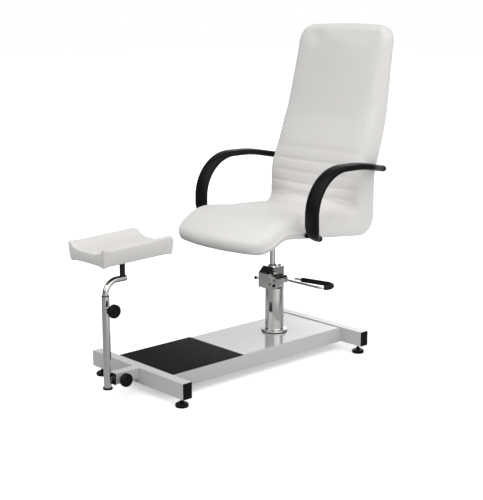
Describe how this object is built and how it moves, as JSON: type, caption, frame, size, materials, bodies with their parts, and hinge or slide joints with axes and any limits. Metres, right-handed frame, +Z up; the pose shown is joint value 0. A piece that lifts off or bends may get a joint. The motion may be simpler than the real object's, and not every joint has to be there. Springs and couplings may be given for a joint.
{
  "type": "pedicure chair",
  "caption": "High-backed padded pedicure chair with loop armrests on a foot-pumped lift, over a floor frame with an adjustable foot pad.",
  "frame": {"origin": "on the floor, under the middle of the chair's bounding box", "axes": "+Z up; the sitter faces -Y; +X is the sitter's left, where the pump lever is"},
  "size_m": [0.695, 1.3423, 1.3249],
  "materials": {
    "frame_paint": "gloss pale grey-white powder coat",
    "black_paint": "satin black powder coat",
    "chrome": "bright plated",
    "steel": "zinc plated",
    "black_plastic": "moulded, semi-gloss",
    "rubber": "fine textured",
    "upholstery": "soft white synthetic leather over foam",
    "lining": "black lining cloth over a thin board",
    "plywood": "beech plywood"
  },
  "bodies": {
    "base": {"front_crossbar": "frame_paint", "rear_crossbar": "frame_paint", "crossbar_caps": "black_plastic", "platform": "frame_paint", "pump_support": "frame_paint", "floor_mat": "rubber", "foot_nuts": "steel", "footrest_stub": "frame_paint", "stub_bush": "black_plastic", "lower_clamp_nut": "steel", "pump_flange": "chrome", "pump_bolts": "steel", "pump_cylinder": "chrome", "pressure_tube": "steel", "pump_head": "chrome", "rod_gland": "chrome", "wiper_ring": "black_plastic", "filler_plug": "steel", "lever_pin": "steel", "stop_screw": "black_paint", "plunger_spring": "steel"},
    "lift": {"piston": "steel"},
    "seat": {"piston_rod": "chrome", "seat_collar": "black_paint", "collar_screws": "steel", "seat_plate": "black_paint", "plate_bolts": "steel", "tee_nuts": "steel", "shell_board": "plywood", "seat_back_cushion": "upholstery", "under_cover": "lining", "rear_cover": "upholstery", "armrest_left": "black_plastic", "armrest_right": "black_plastic", "arm_spacers": "black_plastic", "arm_bolts": "steel"},
    "pump_lever": {"lever_barrel": "chrome", "lever_rod": "chrome", "pedal_grip": "rubber"},
    "plunger": {"pump_plunger": "steel"},
    "swivel_lock": {"lock_plunger": "chrome", "lock_ball": "black_plastic"},
    "footrest_arm": {"footrest_branch": "chrome", "footrest_post": "chrome", "post_cap": "black_plastic", "post_bush": "black_plastic"},
    "footrest_top": {"footrest_bend": "chrome", "bend_plug": "black_plastic", "glide_plug": "black_plastic", "pad_post": "black_paint", "pad_plate": "black_paint", "footrest_board": "plywood", "footrest_pad": "upholstery", "pad_screws": "steel"},
    "upper_knob": {"upper_knob": "black_plastic"},
    "lower_knob": {"lower_knob": "black_plastic"},
    "foot_front_left": {"foot_front_left": "black_plastic"},
    "foot_front_right": {"foot_front_right": "black_plastic"},
    "foot_rear_left": {"foot_rear_left": "black_plastic"},
    "foot_rear_right": {"foot_rear_right": "black_plastic"}
  },
  "joints": [
    {"name": "seat_lift", "type": "slide", "parent": "base", "child": "lift", "axis": [0, 0, 1], "range_m": [-0.065, 0.065]},
    {"name": "seat_swivel", "type": "hinge", "parent": "lift", "child": "seat", "pos_m": [0, 0.2305, 0.2], "axis": [0, 0, 1], "continuous": true},
    {"name": "lever_press", "type": "hinge", "parent": "base", "child": "pump_lever", "pos_m": [0.046, 0.226, 0.318], "axis": [0, 1, 0], "range_deg": [0, 25], "stiffness_Nm_per_rad": 3, "springref_deg": -34.38},
    {"name": "plunger_lift", "type": "slide", "parent": "base", "child": "plunger", "axis": [0, 0, 1], "range_m": [0, 0.0106], "deforming": ["plunger_spring"]},
    {"name": "lock_pull", "type": "slide", "parent": "base", "child": "swivel_lock", "axis": [-1, 0, 0], "range_m": [0, 0.005]},
    {"name": "footrest_reach", "type": "slide", "parent": "base", "child": "footrest_arm", "axis": [0, -1, 0], "range_m": [0, 0.13]},
    {"name": "footrest_height", "type": "slide", "parent": "footrest_arm", "child": "footrest_top", "axis": [0, 0, 1], "range_m": [0, 0.1]},
    {"name": "upper_knob_turn", "type": "hinge", "parent": "footrest_arm", "child": "upper_knob", "pos_m": [0.04, -0.597, 0.339], "axis": [1, 0, 0], "range_deg": [-180, 180]},
    {"name": "lower_knob_turn", "type": "hinge", "parent": "base", "child": "lower_knob", "pos_m": [0.04, -0.551, 0.075], "axis": [1, 0, 0], "range_deg": [-180, 180]},
    {"name": "foot_front_left_screw", "type": "hinge", "parent": "base", "child": "foot_front_left", "pos_m": [0.239, -0.449, 0.02], "axis": [0, 0, 1], "continuous": true},
    {"name": "foot_front_right_screw", "type": "hinge", "parent": "base", "child": "foot_front_right", "pos_m": [-0.239, -0.449, 0.02], "axis": [0, 0, 1], "continuous": true},
    {"name": "foot_rear_left_screw", "type": "hinge", "parent": "base", "child": "foot_rear_left", "pos_m": [0.239, 0.491, 0.02], "axis": [0, 0, 1], "continuous": true},
    {"name": "foot_rear_right_screw", "type": "hinge", "parent": "base", "child": "foot_rear_right", "pos_m": [-0.239, 0.491, 0.02], "axis": [0, 0, 1], "continuous": true}
  ],
  "couplings": [
    {"joint": "plunger_lift", "follows": "lever_press", "m_per_rad": 0.0235}
  ]
}
